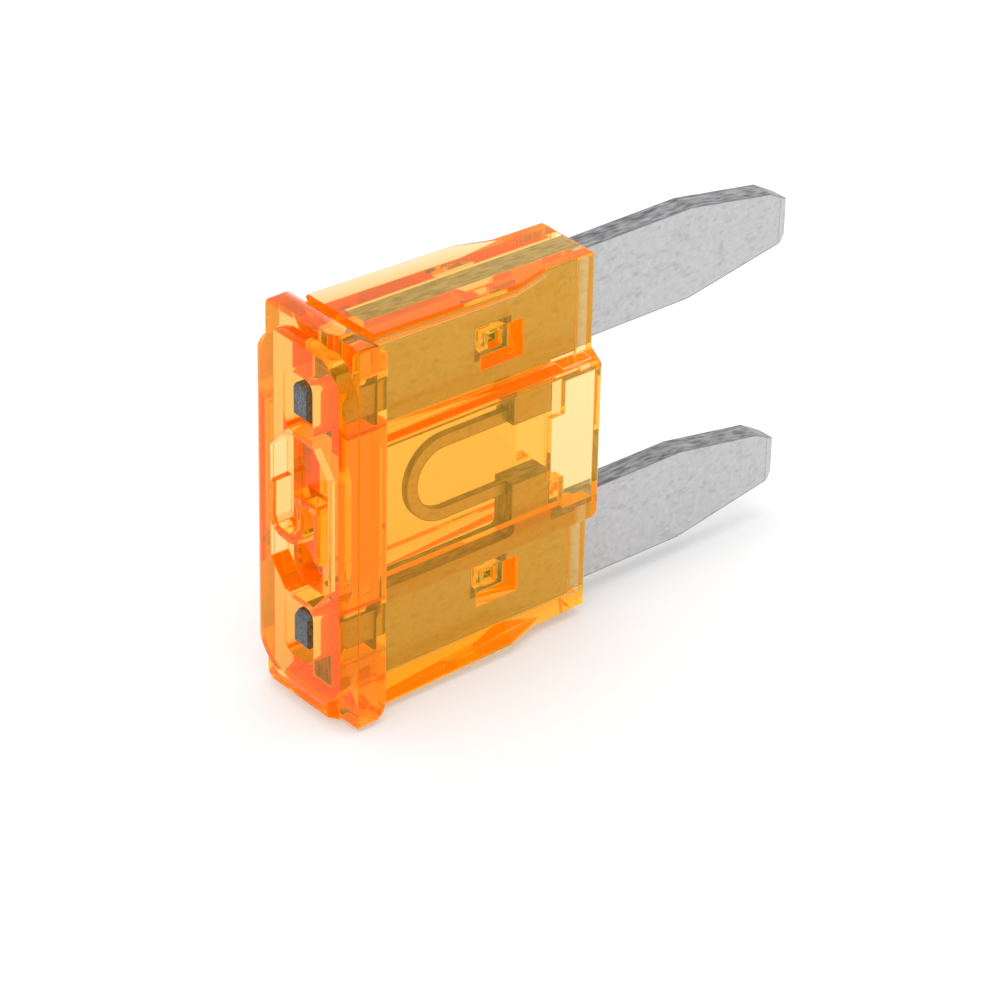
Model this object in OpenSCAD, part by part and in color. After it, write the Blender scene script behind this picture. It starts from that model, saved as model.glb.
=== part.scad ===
// Mini blade fuse: a hollow clear housing moulded in one piece, and one stamped
// conductor whose two blades are joined by a thin U-shaped link.
// X runs from the head to the blade tips, Y is the thickness and Z the width.
// The fuse stands on its narrow edge, with its origin below the middle of its length.

/* [Housing] */
// Length of the housing from the boss face to the open end
housing_length = 8.85; // [8.4:0.05:9.6]
// Width of the head
head_width = 11.4; // [11.3:0.05:12]
// Thickness of the head
head_thickness = 3.62; // [3.58:0.02:4.2]
// Length of the head behind the boss
head_length = 1.06; // [0.9:0.02:1.2]
// Rounding of the head's two shoulders
head_shoulder_r = 0.72; // [0.4:0.02:0.9]
// Rounding of the head's two corners on the back
head_corner_r = 0.26; // [0.1:0.02:0.5]
// Rounding of the rib's two shoulders
rib_shoulder_r = 0.5; // [0.3:0.02:0.6]
// How far the front rib of the head lies behind the rest
rib_setback = 0.17; // [0.1:0.01:0.3]
// Thickness of the front rib of the head
rib_thickness = 0.8; // [0.6:0.05:0.95]
// Slanted step from the rib to the rest of the head
rib_slant = 0.28; // [0.2:0.02:0.5]
// How far the ends of the rib lie inside the ends of the head
rib_inset = 0.1; // [0.05:0.01:0.2]
// Width of the body at its open end
body_width = 10.72; // [10.6:0.02:10.9]
// How much further out each edge of the body lies at the head
body_spread = 0.24; // [0:0.02:0.3]
// Thickness of the thin panels over the blades
panel_thickness = 2.05; // [1.95:0.01:2.3]
// Small rounding of the outer edges
edge_r = 0.08; // [0.05:0.01:0.12]

/* [Boss on the head] */
// Width of the boss
boss_width = 10.45; // [10.2:0.05:10.8]
// Thickness of the boss
boss_thickness = 3.58; // [3.3:0.02:3.58]
// How far the boss stands out of the head
boss_rise = 0.35; // [0.3:0.01:0.6]
// Corner radius of the boss
boss_corner_r = 1.42; // [1:0.02:1.6]
// Rounding round the boss face
boss_edge_r = 0.14; // [0.05:0.01:0.2]

/* [Test windows] */
// Length of each window across the head
window_length = 1.7; // [1.5:0.02:1.8]
// Opening of each window through the thickness
window_height = 1.16; // [0.95:0.02:1.3]
// Corner radius of the windows
window_r = 0.3; // [0.15:0.02:0.4]
// Distance from the middle of the boss to each window
window_offset = 3.36; // [3.2:0.02:3.5]
// How far the boss, its windows and the stakes lie above the middle of the fuse
face_rise = 0.1; // [0:0.01:0.12]

/* [Numeral recess] */
// Depth of the recess between the windows
recess_depth = 0.56; // [0.3:0.02:0.8]
// Width of the recess through the thickness
recess_height = 2.4; // [2:0.05:2.7]
// Length of the recess at full height
recess_length = 3.3; // [2.6:0.1:3.6]
// Wall left between the recess and each window
recess_web = 0.16; // [0.1:0.02:0.3]
// Height of the recess at its two chamfered ends
recess_end_height = 1.2; // [0.8:0.05:1.6]

/* [Raised middle section] */
// Width of the section over its flat faces
section_width = 4.8; // [4.6:0.05:5]
// How far each flank slopes out towards the panels at the head
section_foot_head = 0.32; // [0.1:0.02:0.4]
// How far each flank slopes out towards the panels at the open end
section_foot_end = 0.14; // [0.05:0.01:0.3]
// Corner radius of the section at the open end
section_corner_r = 0.2; // [0.1:0.01:0.3]
// Thickness of the section
section_thickness = 2.84; // [2.7:0.02:3.1]

/* [Edge rails] */
// Thickness over the two rails
rail_thickness = 2.8; // [2.6:0.02:3]
// Flat face of each rail
rail_face = 0.14; // [0.13:0.01:0.4]
// Sloped flank of each rail down to the panel
rail_flank = 0.5; // [0.4:0.02:0.7]
// Length from the boss face to the start of the rail's run-out
rail_runout_start = 6; // [5.6:0.05:6.4]
// Length of the run-out
rail_runout = 1.3; // [0.9:0.05:1.6]

/* [Cavity] */
// Running gap between the conductor and the slot it sits in
slot_gap = 0.04; // [0.02:0.01:0.06]
// Plastic left between the slot and the body's edge at the open end
edge_wall = 0.225; // [0.18:0.005:0.26]
// Length from the boss face to the head end of the slot
slot_start = 1.76; // [1.7:0.02:1.9]
// Depth of the link chamber through the thickness
chamber_depth = 1.2; // [1.1:0.05:1.7]
// Width of the chamber
chamber_width = 3.86; // [3.6:0.02:4]
// Length from the boss face to the head end of the chamber
chamber_start = 1.9; // [1.8:0.02:2.2]
// Depth of the wider mouth through the thickness
mouth_depth = 1.84; // [1.75:0.01:2.1]
// Length of the wider mouth
mouth_length = 1.45; // [1.3:0.05:1.8]
// Length of the ledges beside the mouth that back the necks
ledge_length = 0.45; // [0.3:0.05:0.7]
// Width of the mouth between the ledges
ledge_opening = 1.9; // [1.5:0.05:2.2]
// Length of the lead-in at the open end
leadin_length = 0.34; // [0.3:0.02:0.5]
// Extra room on each face of the blade inside the lead-in
leadin_gap = 0.16; // [0.1:0.01:0.2]

/* [Stakes] */
// Length from the boss face to the middle of the stakes
stake_x = 5.77; // [5.4:0.05:5.9]
// Distance from the middle of the boss to the stakes
stake_offset = 3.58; // [3.4:0.02:3.7]
// Length of the outer pit
stake_length = 1.44; // [1.2:0.02:1.6]
// Width of the outer pit
stake_width = 1.1; // [0.9:0.02:1.2]
// Depth of the outer pit
stake_depth = 0.3; // [0.2:0.02:0.36]
// Share of the pit's size left at its floor
stake_taper = 0.62; // [0.5:0.02:0.7]
// Share of the nub's size left at its end
nub_taper = 0.85; // [0.7:0.01:0.95]
// Side of the small inner pit
stake_core = 0.44; // [0.3:0.02:0.5]
// How far the nub under the pit stands into the blade's hole
stake_nub = 0.28; // [0.15:0.01:0.3]
// Plastic left under the inner pit
stake_floor = 0.16; // [0.1:0.01:0.2]

/* [Blades] */
// Width of each blade
blade_width = 2.72; // [2.6:0.02:2.76]
// Thickness of the sheet metal
sheet_thickness = 0.7; // [0.6:0.01:0.8]
// Distance between the centre lines of the two blades
blade_pitch = 7.47; // [7.4:0.01:7.5]
// How far the blades stand out of the housing
blade_reach = 7.5; // [7:0.05:8.5]
// Length of the narrowing end of each blade
taper_length = 3.54; // [3:0.02:4.2]
// Narrowing on each side at the blade's tip
taper_side = 0.62; // [0.4:0.02:0.8]
// Length of the large tip corner
tip_corner_length = 0.67; // [0.4:0.01:0.9]
// Height of the large tip corner
tip_corner_height = 0.26; // [0.2:0.02:0.4]
// Size of the small tip corner
tip_corner_small = 0.15; // [0.1:0.01:0.25]
// Length of the coined bevel at the tip
coin_length = 0.3; // [0.2:0.02:0.5]
// Depth of the coined bevel on each face
coin_depth = 0.12; // [0.08:0.01:0.2]
// Side of the hole in each blade beyond the stake
stake_hole_gap = 0.14; // [0.08:0.01:0.2]

/* [Probe tails] */
// Width of each tail
tail_width = 0.98; // [0.7:0.02:1.1]
// Thickness of each coined tail
tail_thickness = 0.52; // [0.35:0.01:0.6]
// How far the tail's end lies behind the boss face
tail_setback = 0.05; // [0.02:0.01:0.3]
// Cut corner of the tail
tail_corner = 0.14; // [0.08:0.01:0.2]

/* [Link] */
// Width of the link band
link_width = 0.37; // [0.3:0.01:0.5]
// Thickness of the link band
link_thickness = 0.2; // [0.15:0.01:0.4]
// Width of the link's bow over its outside
link_bow_width = 2.54; // [2.3:0.02:2.8]
// Length from the boss face to the bow's crown
link_crown_x = 3.1; // [2.9:0.05:3.4]
// Length from the boss face to the necks
neck_x = 6.45; // [6.3:0.05:6.6]
// Length of the necks between the link and the blades
neck_length = 1.3; // [1:0.02:1.5]
// Rounding where the necks leave the blades
neck_r = 0.18; // [0.1:0.01:0.3]

/* [Hidden] */
$fn = 48;
// Small overlap that keeps cuts clean
cut = 0.2;
// Thickness of the slices that the rails are drawn between
slice = 0.02;
overall_length = housing_length + blade_reach;
head_end = boss_rise + head_length;
rib_y = rib_thickness - head_thickness / 2;
body_start = head_end - edge_r;
blade_middle = blade_pitch / 2;
blade_outer = blade_middle + blade_width / 2;
blade_inner = blade_middle - blade_width / 2;
slot_depth = sheet_thickness + 2 * slot_gap;
slot_width = body_width - 2 * edge_wall;
sheet_outer = slot_width / 2 - slot_gap;
shoulder_x = slot_start + slot_gap;
taper_x = overall_length - taper_length;
tip_half = blade_width / 2 - taper_side;
corner_half = tip_half + taper_side * tip_corner_length / taper_length;
pit_floor_y = panel_thickness / 2 - stake_depth;
pit_floor_length = stake_length * stake_taper;
pit_floor_width = stake_width * stake_taper;
nub_end_y = slot_depth / 2 - stake_nub;
hole_length = pit_floor_length + 2 * stake_hole_gap;
hole_width = pit_floor_width + 2 * stake_hole_gap;
bow_outer = link_bow_width / 2;
bow_inner = bow_outer - link_width;
bow_x = link_crown_x + bow_outer;
neck_end = neck_x + neck_length;
ORANGE = [1.0, 0.55, 0.08, 0.6];
METAL = [0.78, 0.78, 0.79];

// Half the body's width at a length from the boss face
function half_width(x) =
    body_width / 2 + body_spread * (housing_length - x) / (housing_length - head_end);

// Puts a shape drawn from the boss face and the centre line into its frame
module placed() {
    half_height = max(head_width / 2, half_width(body_start));
    translate([-overall_length / 2, 0, half_height]) children();
}

// Extrudes an outline drawn in X and Z, evenly to both sides of Y = 0
module across_y(depth) {
    rotate([90, 0, 0]) linear_extrude(height = depth, center = true) children();
}

// Extrudes an outline drawn in X and Y, evenly to both sides of Z = 0
module across_z(width) {
    linear_extrude(height = width, center = true) children();
}

// Extrudes an outline drawn in Y and Z along X
module along_x(start, length) {
    translate([start, 0, 0]) rotate([90, 0, 90]) linear_extrude(height = length) children();
}

// Rectangle with four round corners, centred
module round_rect(a, b, r) {
    square([a - 2 * r, b], center = true);
    square([a, b - 2 * r], center = true);
    for (i = [-1, 1], j = [-1, 1]) {
        translate([i * (a / 2 - r), j * (b / 2 - r)]) circle(r);
    }
}

// Bar along X whose far end has two round corners; its near end is square
module bar_outline(start, end, width, r) {
    translate([start, -width / 2]) square([end - start - r, width]);
    translate([start, -width / 2 + r]) square([end - start, width - 2 * r]);
    for (side = [-1, 1]) {
        translate([end - r, side * (width / 2 - r)]) circle(r);
    }
}

// Bar along X whose near end has two round corners; its far end is square
module nosed_outline(start, end, width, r) {
    mirror([1, 0]) bar_outline(-end, -start, width, r);
}

// Head: a flat block with round shoulders and a narrower rib along its front
module head() {
    head_layer(head_width, head_shoulder_r, head_corner_r) block_plan();
    head_layer(head_width - 2 * rib_inset, rib_shoulder_r, edge_r) rib_plan();
}

// Part of the head with round shoulders, cut to a plan in X and Y
module head_layer(width, shoulder_r, corner_r) {
    intersection() {
        along_x(boss_rise, head_length) round_rect(head_thickness, width, corner_r);
        across_y(head_thickness) bar_outline(boss_rise, head_end, width, shoulder_r);
        across_z(width) children();
    }
}

// Plan of the block behind the rib, with the slanted step to the rib
module block_plan() {
    polygon([
        [boss_rise, head_thickness / 2],
        [boss_rise, rib_y + rib_slant],
        [boss_rise + rib_setback, rib_y],
        [head_end, rib_y],
        [head_end, head_thickness / 2]
    ]);
}

// Plan of the rib, which reaches a little into the block
module rib_plan() {
    translate([boss_rise + rib_setback, -head_thickness / 2])
        square([head_length - rib_setback, rib_thickness + rib_slant]);
}

// Boss on the head with a rounded edge all round its face
module boss() {
    base = boss_rise + rib_setback + edge_r;
    intersection() {
        along_x(0, base) round_rect(boss_thickness, boss_width, boss_corner_r);
        across_y(boss_thickness) nosed_outline(0, base, boss_width, boss_edge_r);
        across_z(boss_width) nosed_outline(0, base, boss_thickness, boss_edge_r);
    }
}

// Outline of the body in X and Z, narrower at the open end, where it has two round corners
module body_outline(r) {
    end = housing_length;
    half_end = body_width / 2;
    polygon([
        [body_start, -half_width(body_start)], [end - r, -half_end], [end, r - half_end],
        [end, half_end - r], [end - r, half_end], [body_start, half_width(body_start)]
    ]);
    for (side = [-1, 1]) {
        translate([end - r, side * (half_end - r)]) circle(r);
    }
}

// Thin panels over the blades
module body_slab() {
    intersection() {
        across_y(panel_thickness) body_outline(edge_r);
        across_z(2 * half_width(body_start) + cut)
            bar_outline(body_start, housing_length, panel_thickness, edge_r / 2);
    }
}

// Raised middle section; its flanks slope out to the panels, most of all at the head
module raised_section() {
    half = section_width / 2;
    hull() {
        across_y(section_thickness)
            bar_outline(body_start, housing_length, section_width, section_corner_r);
        across_y(panel_thickness) polygon([
            [body_start, -half - section_foot_head], [housing_length, -half - section_foot_end],
            [housing_length, half + section_foot_end], [body_start, half + section_foot_head]
        ]);
    }
}

// Slice of the upper rail at a length from the boss face
module rail_slice(x, thickness, flank) {
    translate([0, 0, half_width(x)]) along_x(x, slice) polygon([
        [-thickness / 2, -rail_face], [-thickness / 2, -edge_r],
        [-thickness / 2 + edge_r, 0], [thickness / 2 - edge_r, 0],
        [thickness / 2, -edge_r], [thickness / 2, -rail_face],
        [panel_thickness / 2, -rail_face - flank], [-panel_thickness / 2, -rail_face - flank]
    ]);
}

// Rail along the upper edge, full at the head and running out into the panel
module rail() {
    hull() {
        rail_slice(body_start, rail_thickness, rail_flank);
        rail_slice(rail_runout_start, rail_thickness, rail_flank);
    }
    hull() {
        rail_slice(rail_runout_start, rail_thickness, rail_flank);
        rail_slice(rail_runout_start + rail_runout, panel_thickness, edge_r);
    }
}

// Flat cavity that holds the sheet metal from edge to edge
module sheet_slot() {
    across_y(slot_depth) translate([slot_start, -slot_width / 2])
        square([housing_length - slot_start + cut, slot_width]);
}

// Chamber round the link, deeper at the open end between two ledges
module link_chamber() {
    mouth_x = housing_length - mouth_length;
    across_y(chamber_depth) translate([chamber_start, -chamber_width / 2])
        square([housing_length - chamber_start + cut, chamber_width]);
    across_y(mouth_depth) union() {
        translate([mouth_x, -ledge_opening / 2])
            square([mouth_length + cut, ledge_opening]);
        translate([mouth_x + ledge_length, -chamber_width / 2])
            square([mouth_length - ledge_length + cut, chamber_width]);
    }
}

// Wider lead-in round both blades at the open end
module leadin() {
    depth = slot_depth + 2 * leadin_gap;
    across_y(depth) translate([housing_length - leadin_length, -slot_width / 2])
        square([leadin_length + cut, slot_width]);
}

// Window through the head for a test probe
module window() {
    translate([0, 0, window_offset])
        along_x(-cut, slot_start + 2 * cut) round_rect(window_height, window_length, window_r);
}

// Recess between the windows, with chamfered ends
module numeral_recess() {
    end = window_offset - window_length / 2 - recess_web;
    along_x(-cut, recess_depth + cut) polygon([
        [recess_end_height / 2, end], [recess_height / 2, recess_length / 2],
        [recess_height / 2, -recess_length / 2], [recess_end_height / 2, -end],
        [-recess_end_height / 2, -end], [-recess_height / 2, -recess_length / 2],
        [-recess_height / 2, recess_length / 2], [-recess_end_height / 2, end]
    ]);
}

// Frustum along -Y from a full rectangle to a share of it
module frustum(length, width, depth, share) {
    rotate([90, 0, 0]) linear_extrude(height = depth, scale = share)
        square([length, width], center = true);
}

// Moves a stake shape to its place over the upper blade
module at_stake(y) {
    translate([stake_x, y, stake_offset]) children();
}

// Nub under the pit, standing into the blade's hole
module stake_solid() {
    at_stake(pit_floor_y)
        frustum(pit_floor_length, pit_floor_width, pit_floor_y - nub_end_y, nub_taper);
}

// Stepped pit pressed into the back panel over the nub
module stake_pit() {
    core_depth = panel_thickness / 2 - nub_end_y - stake_floor;
    at_stake(panel_thickness / 2) frustum(stake_length, stake_width, stake_depth, stake_taper);
    at_stake(panel_thickness / 2 - core_depth / 2)
        cube([stake_core, core_depth, stake_core], center = true);
}

// Repeats a shape of the upper side on the lower side as well
module both_sides() {
    children();
    mirror([0, 0, 1]) children();
}

// Moves what belongs to the boss up to its middle
module raised() {
    translate([0, 0, face_rise]) children();
}

// Repeats a shape of the back face on the front face as well
module both_faces() {
    children();
    mirror([0, 1, 0]) children();
}

// One moulded piece: head, boss, body, rails and the nubs of the stakes
module housing() {
    color(ORANGE) placed() difference() {
        union() {
            difference() {
                union() {
                    head();
                    raised() boss();
                    body_slab();
                    raised_section();
                    both_sides() rail();
                }
                sheet_slot();
                link_chamber();
                leadin();
                raised() both_sides() window();
                raised() numeral_recess();
            }
            raised() both_sides() both_faces() stake_solid();
        }
        raised() both_sides() both_faces() stake_pit();
    }
}

// Outline of the upper blade in X and Z, from its shoulder to its tip
module blade_outline() {
    tip = overall_length;
    polygon([
        [shoulder_x, blade_inner],
        [taper_x, blade_inner],
        [tip - tip_corner_small, blade_middle - tip_half],
        [tip, blade_middle - tip_half + tip_corner_small],
        [tip, blade_middle + tip_half - tip_corner_height],
        [tip - tip_corner_length, blade_middle + corner_half],
        [taper_x, blade_outer],
        [housing_length, blade_outer],
        [housing_length - leadin_length, sheet_outer],
        [shoulder_x, sheet_outer]
    ]);
}

// Outline of the lower blade: like the upper one, but its tip isn't mirrored
module lower_blade_outline() {
    intersection() {
        translate([0, -blade_pitch]) blade_outline();
        translate([housing_length, -blade_outer - cut]) square([blade_reach, blade_outer]);
    }
    intersection() {
        mirror([0, 1]) blade_outline();
        translate([0, -slot_width]) square([housing_length + cut, slot_width]);
    }
}

// Rectangular hole that each stake's nubs fill
module stake_hole(side) {
    translate([stake_x, side * stake_offset + face_rise])
        square([hole_length, hole_width], center = true);
}

// Neck from a blade to the link, with a round corner on its head side
module neck(side) {
    mirror([0, side < 0 ? 1 : 0]) {
        translate([neck_x, bow_inner]) square([neck_length, blade_inner - bow_inner + slot_gap]);
        difference() {
            translate([neck_x - neck_r, blade_inner - neck_r]) square([neck_r, neck_r + slot_gap]);
            translate([neck_x - neck_r, blade_inner - neck_r]) circle(neck_r);
        }
    }
}

// U-shaped band from neck to neck, bowed towards the head
module link_outline() {
    difference() {
        union() {
            translate([bow_x, 0]) circle(bow_outer);
            translate([bow_x, -bow_outer]) square([neck_x + neck_r - bow_x, link_bow_width]);
        }
        translate([bow_x, 0]) circle(bow_inner);
        translate([bow_x, -bow_inner]) square([neck_end - bow_x, 2 * bow_inner]);
    }
}

// Coined tail of the upper blade, with two cut corners at its end
module tail_outline() {
    low = window_offset - tail_width / 2;
    high = window_offset + tail_width / 2;
    polygon([
        [tail_setback, low + tail_corner], [tail_setback + tail_corner, low],
        [shoulder_x + cut, low], [shoulder_x + cut, high],
        [tail_setback + tail_corner / 2, high], [tail_setback, high - tail_corner / 2]
    ]);
}

// Bevel cut off the back face of a blade's tip
module tip_coin() {
    across_z(2 * blade_outer + cut) polygon([
        [overall_length - coin_length, sheet_thickness / 2],
        [overall_length, sheet_thickness / 2 - coin_depth],
        [overall_length + cut, sheet_thickness / 2 - coin_depth],
        [overall_length + cut, sheet_thickness / 2 + cut],
        [overall_length - coin_length, sheet_thickness / 2 + cut]
    ]);
}

// One stamping: two blades with tails, their necks and the link between them
module fuse_element() {
    color(METAL) placed() {
        difference() {
            across_y(sheet_thickness) difference() {
                union() {
                    blade_outline();
                    lower_blade_outline();
                    neck(1);
                    neck(-1);
                }
                stake_hole(1);
                stake_hole(-1);
            }
            both_faces() tip_coin();
        }
        across_y(link_thickness) link_outline();
        raised() both_sides() across_y(tail_thickness) tail_outline();
    }
}

housing();
fuse_element();
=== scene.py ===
"""Looks of a mini blade fuse: clear amber housing, plated metal conductor, white studio."""

import math

import bmesh
import bpy
from mathutils import Matrix, Vector


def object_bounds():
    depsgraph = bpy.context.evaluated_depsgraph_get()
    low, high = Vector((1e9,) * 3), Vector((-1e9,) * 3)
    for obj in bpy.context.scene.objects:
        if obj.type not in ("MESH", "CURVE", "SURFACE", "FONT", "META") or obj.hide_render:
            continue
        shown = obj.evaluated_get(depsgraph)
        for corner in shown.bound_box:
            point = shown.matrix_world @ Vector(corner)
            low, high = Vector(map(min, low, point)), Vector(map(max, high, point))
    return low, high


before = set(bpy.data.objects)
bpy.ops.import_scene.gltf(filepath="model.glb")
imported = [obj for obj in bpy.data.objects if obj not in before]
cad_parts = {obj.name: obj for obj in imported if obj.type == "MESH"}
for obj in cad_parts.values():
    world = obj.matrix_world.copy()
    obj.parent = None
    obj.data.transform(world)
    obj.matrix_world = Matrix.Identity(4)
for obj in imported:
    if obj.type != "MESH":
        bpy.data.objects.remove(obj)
cad_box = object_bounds()

MM = 0.001

# Places on the object: the face of the boss, and half the height of the whole
BOSS_FACE_X = cad_box[0][0]
MIDDLE_Z = (cad_box[0][2] + cad_box[1][2]) / 2

# Camera: the direction it looks from, its tilt, its distance and the point in the picture's middle
CAMERA_AZIMUTH = -40.36
CAMERA_ELEVATION = 31.14
CAMERA_ROLL = 1.26
CAMERA_DISTANCE = 118.7 * MM
CAMERA_LENS = 161.85
CAMERA_SENSOR = 36.0
CAMERA_NEAR_LIMIT = 1.0 * MM
CAMERA_AIM = Vector((-1.600, -0.135, 4.001)) * MM

# Floor, its gap under the object, and how far it is lifted to white for each group of rays
FLOOR_SIZE = 1.2
FLOOR_GAP = 0.02 * MM
FLOOR_COLOUR = (0.86, 0.86, 0.86, 1)
SEEN_RAYS = ["Is Camera Ray"]
FLOOR_LIFT_SEEN = 0.2
TURNED_RAYS = ["Is Glossy Ray", "Is Transmission Ray"]
FLOOR_LIFT_TURNED = 0.16

# Light: the world's strength as a lamp and as the white background, and one soft lamp
WHITE = (1, 1, 1, 1)
WORLD_STRENGTH = 0.78
WORLD_SEEN_STRENGTH = 1.0
KEY_WATTS = 0.5
KEY_PLACE = dict(azimuth=-60, elevation=78, distance=0.35, size=0.34)

# Amber plastic: refraction, tint at its surface, the colour that its depth lets through, and a painted
# glow that stands in for light held inside it
PLASTIC_IOR = 1.5
PLASTIC_ROUGHNESS = 0.03
PLASTIC_COLOUR = (1.0, 0.9, 0.72, 1)
PLASTIC_DEPTH_COLOUR = (0.976, 0.624, 0.0, 1)
PLASTIC_DENSITY = 1250.0
PLASTIC_GLOSS_TINT = (1.0, 0.5, 0.0, 1)
PLASTIC_PAINTED_GLOW = (0.66, 0.57, 0.0, 1)
PLASTIC_PAINTED_GLOW_STRENGTH = 0.1
WAVES = dict(scale=700.0, detail=2.0)
WAVE_HEIGHT = 0.004 * MM
EDGE_SOFTNESS = 0.06 * MM

# Samples that a softened edge takes, in the plastic and on the metal
EDGE_SAMPLES = 4

# Sheet metal: rolled faces, sheared edges, and tails painted dark as shade in the boss's windows, up to
# this place on X
FACE_DARK = (0.53, 0.53, 0.54, 1)
FACE_LIGHT = (0.65, 0.65, 0.66, 1)
FACE_SPECK = (0.46, 0.46, 0.47, 1)
EDGE_DARK = (0.11, 0.11, 0.115, 1)
EDGE_LIGHT = (0.4, 0.4, 0.41, 1)
# Painted shade on the tails where they lie in the windows, mottled by a fine grain
TAIL_SHADE_DARK = (0.035, 0.04, 0.05, 1)
TAIL_SHADE_LIGHT = (0.2, 0.215, 0.23, 1)
TAIL_SHADE_END_X = BOSS_FACE_X + 0.775 * MM
METAL_SHINE = 0.5
SMOOTHEST, ROUGHEST = 0.28, 0.44

# A face looks along Y; where the normal's Y is below this the metal was sheared
FACE_NORMAL_Y = 0.6

# Painted shade in a dark rim along the metal's edges, and the dot products of rounded and true normal
# where it starts and is full
RIM_SHADE_COLOUR = (0.12, 0.12, 0.125, 1)
RIM_SHADE_WIDTH = 0.06 * MM
RIM_SHADE_START, RIM_SHADE_FULL = 1.0, 0.96

# Patterns on the metal, and the span of each that runs from its first colour to its second
MOTTLE = dict(scale=6500.0, detail=8.0)
MOTTLE_SPAN = (0.25, 0.75)
STREAKS = dict(scale=9000.0, detail=5.0, stretch=(0.25, 1, 0.25))
STREAKS_SPAN = (0.34, 0.66)
STREAKS_HEIGHT = 0.012 * MM
GRAIN = dict(scale=22000.0, detail=3.0)
GRAIN_SPAN = (0.35, 0.65)
GRAIN_HEIGHT = 0.002 * MM
SPECKS = dict(scale=7000.0, detail=5.0, stretch=(0.5, 1, 1))
SPECKS_SPAN = (0.54, 0.74)

# Numeral: the middle line of its strokes in mm as (right, up), which are -Z and -Y on the boss,
# its section in mm from the top down as (depth below the boss's face, half the stroke's width),
# and how far its middle lies above the middle of the fuse
NUMERAL_LINE = [
    (0.92, 0.64), (-0.49, 0.64), (-0.49, -0.15), (-0.1, -0.05), (0.17, -0.03), (0.48, -0.06),
    (0.72, -0.2), (0.85, -0.5), (0.82, -0.85), (0.7, -1.08), (0.45, -1.2), (-0.5, -1.18),
]
NUMERAL_SECTION = [(0.03, 0.08), (0.08, 0.14), (0.62, 0.16)]
NUMERAL_RISE = 0.1 * MM

# At a sharp corner a stroke's outline reaches out by half its width over this, at most
CORNER_LIMIT = 0.5

# Points of the housing that are nearer than this count as one when the numeral is joined
WELD_REACH = 0.0001 * MM

# Bounces that a ray may take inside the plastic
BOUNCES = 24

# Sockets of a Mix node that hold its colours
MIX_FIRST, MIX_SECOND, MIX_RESULT = 6, 7, 2


def direction(azimuth, elevation):
    """Unit vector from the object to a place at that azimuth and elevation, in degrees."""
    a, e = math.radians(azimuth), math.radians(elevation)
    return Vector((math.sin(a) * math.cos(e), -math.cos(a) * math.cos(e), math.sin(e)))


def make_camera():
    """Camera at the photograph's angle."""
    data = bpy.data.cameras.new("camera")
    data.lens = CAMERA_LENS
    data.sensor_width = CAMERA_SENSOR
    data.clip_start = CAMERA_NEAR_LIMIT
    camera = bpy.data.objects.new("camera", data)
    back = direction(CAMERA_AZIMUTH, CAMERA_ELEVATION)
    right = Vector((0, 0, 1)).cross(back).normalized()
    up = back.cross(right)
    axes = Matrix((right, up, back)).transposed().to_4x4()
    place = Matrix.Translation(CAMERA_AIM + back * CAMERA_DISTANCE)
    camera.matrix_world = place @ axes @ Matrix.Rotation(math.radians(CAMERA_ROLL), 4, "Z")
    bpy.context.scene.collection.objects.link(camera)
    bpy.context.scene.camera = camera


def new_material(name):
    """Material, its empty node tree and its output node."""
    material = bpy.data.materials.new(name)
    material.use_nodes = True
    tree = material.node_tree
    tree.nodes.clear()
    return material, tree, tree.nodes.new("ShaderNodeOutputMaterial")


def fill(tree, socket, value):
    """Links a socket to another one, or gives it a plain number or colour."""
    if isinstance(value, bpy.types.NodeSocket):
        tree.links.new(value, socket)
    else:
        socket.default_value = value


def calculated(tree, operation, first, second=0.0):
    """Socket of a calculation with a socket and a number or another socket."""
    node = tree.nodes.new("ShaderNodeMath")
    node.operation = operation
    fill(tree, node.inputs[0], first)
    fill(tree, node.inputs[1], second)
    return node.outputs[0]


def blended(tree, share, first, second):
    """Colour socket between two colours or colour sockets."""
    node = tree.nodes.new("ShaderNodeMix")
    node.data_type = "RGBA"
    fill(tree, node.inputs["Factor"], share)
    fill(tree, node.inputs[MIX_FIRST], first)
    fill(tree, node.inputs[MIX_SECOND], second)
    return node.outputs[MIX_RESULT]


def noise(tree, scale, detail, stretch=(1, 1, 1)):
    """Noise socket over the object's coordinates; a small stretch value draws it out along that axis."""
    place = tree.nodes.new("ShaderNodeTexCoord")
    mapping = tree.nodes.new("ShaderNodeMapping")
    mapping.inputs["Scale"].default_value = stretch
    texture = tree.nodes.new("ShaderNodeTexNoise")
    texture.inputs["Scale"].default_value = scale
    texture.inputs["Detail"].default_value = detail
    tree.links.new(place.outputs["Object"], mapping.inputs["Vector"])
    tree.links.new(mapping.outputs[0], texture.inputs["Vector"])
    return texture.outputs["Fac"]


def spread(tree, value, low, high, start=0.0, end=1.0):
    """Value socket stretched so that low gives the start and high gives the end."""
    node = tree.nodes.new("ShaderNodeMapRange")
    node.inputs["From Min"].default_value = low
    node.inputs["From Max"].default_value = high
    node.inputs["To Min"].default_value = start
    node.inputs["To Max"].default_value = end
    tree.links.new(value, node.inputs["Value"])
    return node.outputs["Result"]


def softened(tree, radius):
    """Normal socket with the edges rounded off by this radius."""
    node = tree.nodes.new("ShaderNodeBevel")
    node.samples = EDGE_SAMPLES
    node.inputs["Radius"].default_value = radius
    return node.outputs[0]


def bumped(tree, height, distance, before=None):
    """Normal socket of a bump, on top of another normal if one is given."""
    node = tree.nodes.new("ShaderNodeBump")
    node.inputs["Distance"].default_value = distance
    tree.links.new(height, node.inputs["Height"])
    if before is not None:
        tree.links.new(before, node.inputs["Normal"])
    return node.outputs["Normal"]


def ray_share(tree, kinds):
    """Socket that is 1 for a ray of any of these kinds and 0 for the others."""
    path = tree.nodes.new("ShaderNodeLightPath")
    found = path.outputs[kinds[0]]
    for kind in kinds[1:]:
        found = calculated(tree, "MAXIMUM", found, path.outputs[kind])
    return found


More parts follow.
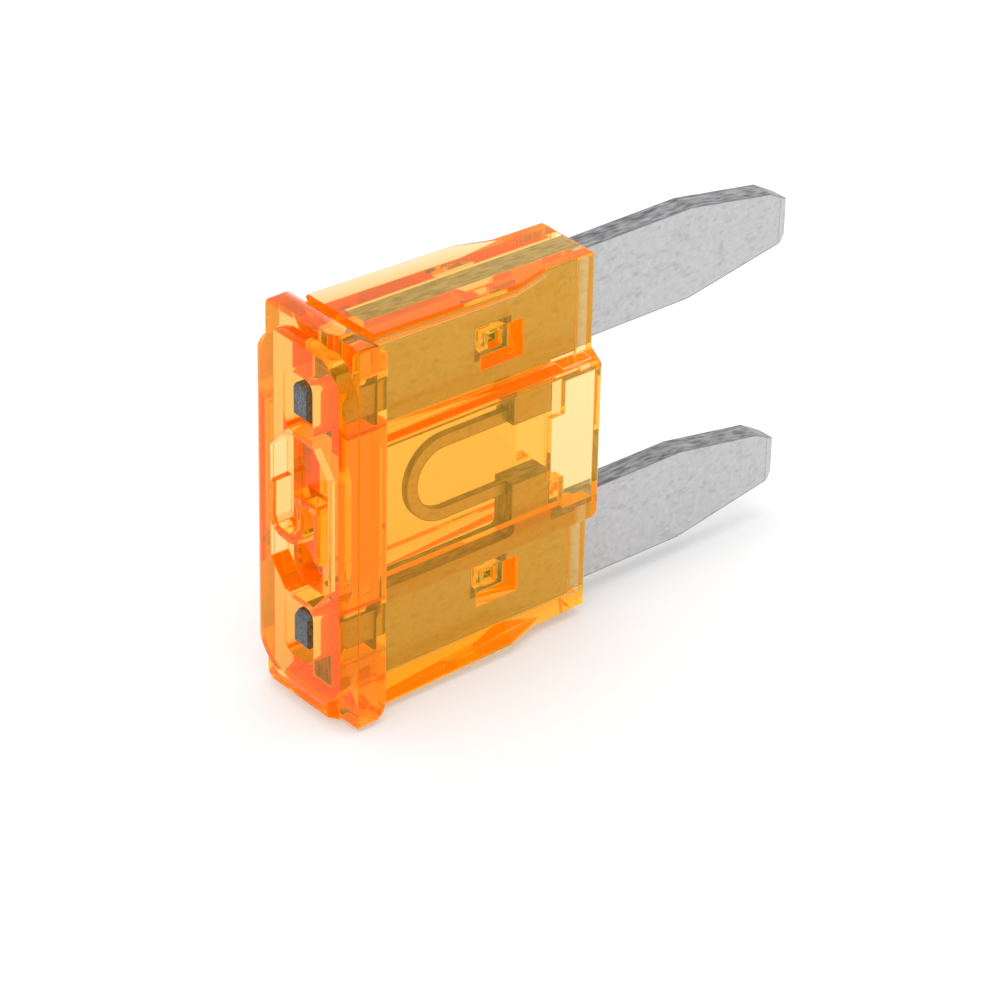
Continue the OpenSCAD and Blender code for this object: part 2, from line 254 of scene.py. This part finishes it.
def floor_material():
    """Pale floor that the camera, metal and plastic see as white, and that keeps the shadow."""
    material, tree, output = new_material("pale_floor")
    shader = tree.nodes.new("ShaderNodeBsdfDiffuse")
    shader.inputs["Color"].default_value = FLOOR_COLOUR
    for kinds, lift in ((SEEN_RAYS, FLOOR_LIFT_SEEN), (TURNED_RAYS, FLOOR_LIFT_TURNED)):
        glow = tree.nodes.new("ShaderNodeEmission")
        strength = calculated(tree, "MULTIPLY", ray_share(tree, kinds), lift)
        tree.links.new(strength, glow.inputs["Strength"])
        both = tree.nodes.new("ShaderNodeAddShader")
        tree.links.new(shader.outputs[0], both.inputs[0])
        tree.links.new(glow.outputs[0], both.inputs[1])
        shader = both
    tree.links.new(shader.outputs[0], output.inputs["Surface"])
    return material


def make_floor():
    """Plain floor under the object, a hair below its plastic so that light turns back there as in air."""
    half = FLOOR_SIZE / 2
    places = ((-half, -half), (half, -half), (half, half), (-half, half))
    mesh = bpy.data.meshes.new("floor")
    mesh.from_pydata([(x, y, -FLOOR_GAP) for x, y in places], [], [(0, 1, 2, 3)])
    mesh.materials.append(floor_material())
    floor = bpy.data.objects.new("floor", mesh)
    bpy.context.scene.collection.objects.link(floor)


def surroundings(tree, strength):
    """Shader socket of white surroundings of that strength."""
    node = tree.nodes.new("ShaderNodeBackground")
    node.inputs["Color"].default_value = WHITE
    node.inputs["Strength"].default_value = strength
    return node.outputs[0]


def make_world():
    """Even pale surroundings that the camera, metal and plastic see as white."""
    world = bpy.data.worlds.new("studio")
    bpy.context.scene.world = world
    world.use_nodes = True
    tree = world.node_tree
    tree.nodes.clear()
    output = tree.nodes.new("ShaderNodeOutputWorld")
    mix = tree.nodes.new("ShaderNodeMixShader")
    tree.links.new(ray_share(tree, SEEN_RAYS + TURNED_RAYS), mix.inputs[0])
    tree.links.new(surroundings(tree, WORLD_STRENGTH), mix.inputs[1])
    tree.links.new(surroundings(tree, WORLD_SEEN_STRENGTH), mix.inputs[2])
    tree.links.new(mix.outputs[0], output.inputs["Surface"])


def area_light(name, azimuth, elevation, distance, size, watts):
    """Soft square lamp that points at the object."""
    data = bpy.data.lights.new(name, "AREA")
    data.size = size
    data.energy = watts
    lamp = bpy.data.objects.new(name, data)
    away = direction(azimuth, elevation)
    lamp.location = CAMERA_AIM + away * distance
    lamp.rotation_euler = away.to_track_quat("Z", "Y").to_euler()
    bpy.context.scene.collection.objects.link(lamp)


def plastic_material():
    """Clear amber plastic, coloured by its depth, with a painted glow, soft moulded edges and faint
    waves.
    """
    material, tree, output = new_material("amber_plastic")
    clear = tree.nodes.new("ShaderNodeBsdfPrincipled")
    clear.inputs["Base Color"].default_value = PLASTIC_COLOUR
    clear.inputs["Roughness"].default_value = PLASTIC_ROUGHNESS
    clear.inputs["IOR"].default_value = PLASTIC_IOR
    clear.inputs["Specular Tint"].default_value = PLASTIC_GLOSS_TINT
    clear.inputs["Transmission Weight"].default_value = 1.0
    # Painted glow: the plastic gives off light of its own, in place of light held inside it
    clear.inputs["Emission Color"].default_value = PLASTIC_PAINTED_GLOW
    clear.inputs["Emission Strength"].default_value = PLASTIC_PAINTED_GLOW_STRENGTH
    waves = noise(tree, **WAVES)
    surface = bumped(tree, waves, WAVE_HEIGHT, softened(tree, EDGE_SOFTNESS))
    tree.links.new(surface, clear.inputs["Normal"])
    inside = tree.nodes.new("ShaderNodeVolumeAbsorption")
    inside.inputs["Color"].default_value = PLASTIC_DEPTH_COLOUR
    inside.inputs["Density"].default_value = PLASTIC_DENSITY
    tree.links.new(clear.outputs[0], output.inputs["Surface"])
    tree.links.new(inside.outputs[0], output.inputs["Volume"])
    return material


def separated(tree, vector):
    """The X, Y and Z sockets of a vector socket."""
    node = tree.nodes.new("ShaderNodeSeparateXYZ")
    tree.links.new(vector, node.inputs[0])
    return node.outputs


def rim_shade_share(tree):
    """Socket that is 1 in a thin rim along the edges, where shade is painted, and 0 away from them."""
    geometry = tree.nodes.new("ShaderNodeNewGeometry")
    turned = tree.nodes.new("ShaderNodeVectorMath")
    turned.operation = "DOT_PRODUCT"
    tree.links.new(softened(tree, RIM_SHADE_WIDTH), turned.inputs[0])
    tree.links.new(geometry.outputs["True Normal"], turned.inputs[1])
    return spread(tree, turned.outputs["Value"], RIM_SHADE_START, RIM_SHADE_FULL)


def metal_colour(tree, mottle, streaks, grain):
    """Colour socket of the metal: faces, sheared edges and tails painted dark as shade in the windows,
    with a rim of painted shade round all.
    """
    place = tree.nodes.new("ShaderNodeTexCoord")
    upright = calculated(tree, "ABSOLUTE", separated(tree, place.outputs["Normal"])["Y"])
    sheared = calculated(tree, "LESS_THAN", upright, FACE_NORMAL_Y)
    along = separated(tree, place.outputs["Object"])["X"]
    # Painted shade: the tails near the boss's face, in its windows, are dark
    window_shade_mask = calculated(tree, "LESS_THAN", along, TAIL_SHADE_END_X)
    specks = spread(tree, noise(tree, **SPECKS), *SPECKS_SPAN)
    face = blended(tree, specks, blended(tree, mottle, FACE_DARK, FACE_LIGHT), FACE_SPECK)
    edge = blended(tree, streaks, EDGE_DARK, EDGE_LIGHT)
    window_shade_colour = blended(tree, spread(tree, grain, *GRAIN_SPAN), TAIL_SHADE_DARK, TAIL_SHADE_LIGHT)
    whole = blended(tree, window_shade_mask, blended(tree, sheared, face, edge), window_shade_colour)
    # Painted shade in a thin rim along every edge of the metal
    return blended(tree, rim_shade_share(tree), whole, RIM_SHADE_COLOUR)


def metal_material():
    """Plated sheet metal: mottled satin faces, streaked sheared edges and a fine grain."""
    material, tree, output = new_material("plated_metal")
    mottle = spread(tree, noise(tree, **MOTTLE), *MOTTLE_SPAN)
    streaks = spread(tree, noise(tree, **STREAKS), *STREAKS_SPAN)
    grain = noise(tree, **GRAIN)
    metal = tree.nodes.new("ShaderNodeBsdfPrincipled")
    metal.inputs["Metallic"].default_value = METAL_SHINE
    roughness = spread(tree, mottle, 0.0, 1.0, SMOOTHEST, ROUGHEST)
    relief = bumped(tree, streaks, STREAKS_HEIGHT, bumped(tree, grain, GRAIN_HEIGHT))
    tree.links.new(metal_colour(tree, mottle, streaks, grain), metal.inputs["Base Color"])
    tree.links.new(roughness, metal.inputs["Roughness"])
    tree.links.new(relief, metal.inputs["Normal"])
    tree.links.new(metal.outputs[0], output.inputs["Surface"])
    return material


def left_of(run):
    """Flat vector a quarter turn to the left of another."""
    return Vector((-run.y, run.x))


def stroke_outline(line, half):
    """Outline of a stroke along a line, with square ends: down one side and back up the other."""
    points = [Vector(place) for place in line]
    runs = [(end - start).normalized() for start, end in zip(points, points[1:])]
    points[0] -= runs[0] * half
    points[-1] += runs[-1] * half
    left, right = [], []
    for point, before, after in zip(points, runs[:1] + runs, runs + runs[-1:]):
        out = left_of((before + after).normalized())
        out *= half / max(out.dot(left_of(after)), CORNER_LIMIT)
        left.append(point + out)
        right.append(point - out)
    return left + right[::-1]


def lofted(name, rings):
    """Closed mesh through rings of points, from the top one down."""
    build = bmesh.new()
    loops = [[build.verts.new(point) for point in ring] for ring in rings]
    build.faces.new(loops[0])
    build.faces.new(loops[-1][::-1])
    count = len(loops[0])
    for above, below in zip(loops, loops[1:]):
        for i in range(count):
            j = (i + 1) % count
            build.faces.new((above[i], above[j], below[j], below[i]))
    bmesh.ops.recalc_face_normals(build, faces=build.faces)
    mesh = bpy.data.meshes.new(name)
    build.to_mesh(mesh)
    build.free()
    return mesh


def make_numeral():
    """Raised numeral of the housing's own plastic, joined to the floor of the recess on the boss."""
    middle = Vector((BOSS_FACE_X, 0.0, MIDDLE_Z + NUMERAL_RISE))
    rings = []
    for depth, half in NUMERAL_SECTION:
        outline = stroke_outline(NUMERAL_LINE, half)
        rings.append([middle + Vector((depth, -up, -right)) * MM for right, up in outline])
    form = bpy.data.objects.new("numeral_form", lofted("numeral_form", rings))
    form.hide_render = True
    form.hide_viewport = True
    bpy.context.scene.collection.objects.link(form)
    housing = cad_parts["housing"]
    weld = housing.modifiers.new("weld", "WELD")
    weld.merge_threshold = WELD_REACH
    join = housing.modifiers.new("numeral", "BOOLEAN")
    join.operation = "UNION"
    join.solver = "EXACT"
    join.object = form


def dress(node, material):
    """Gives a CAD node its material."""
    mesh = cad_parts[node].data
    mesh.materials.clear()
    mesh.materials.append(material)


make_camera()
make_floor()
make_world()
area_light("key", watts=KEY_WATTS, **KEY_PLACE)
make_numeral()
dress("housing", plastic_material())
dress("fuse_element", metal_material())

scene = bpy.context.scene
scene.view_settings.view_transform = "Standard"
scene.cycles.max_bounces = BOUNCES
scene.cycles.glossy_bounces = BOUNCES
scene.cycles.transmission_bounces = BOUNCES
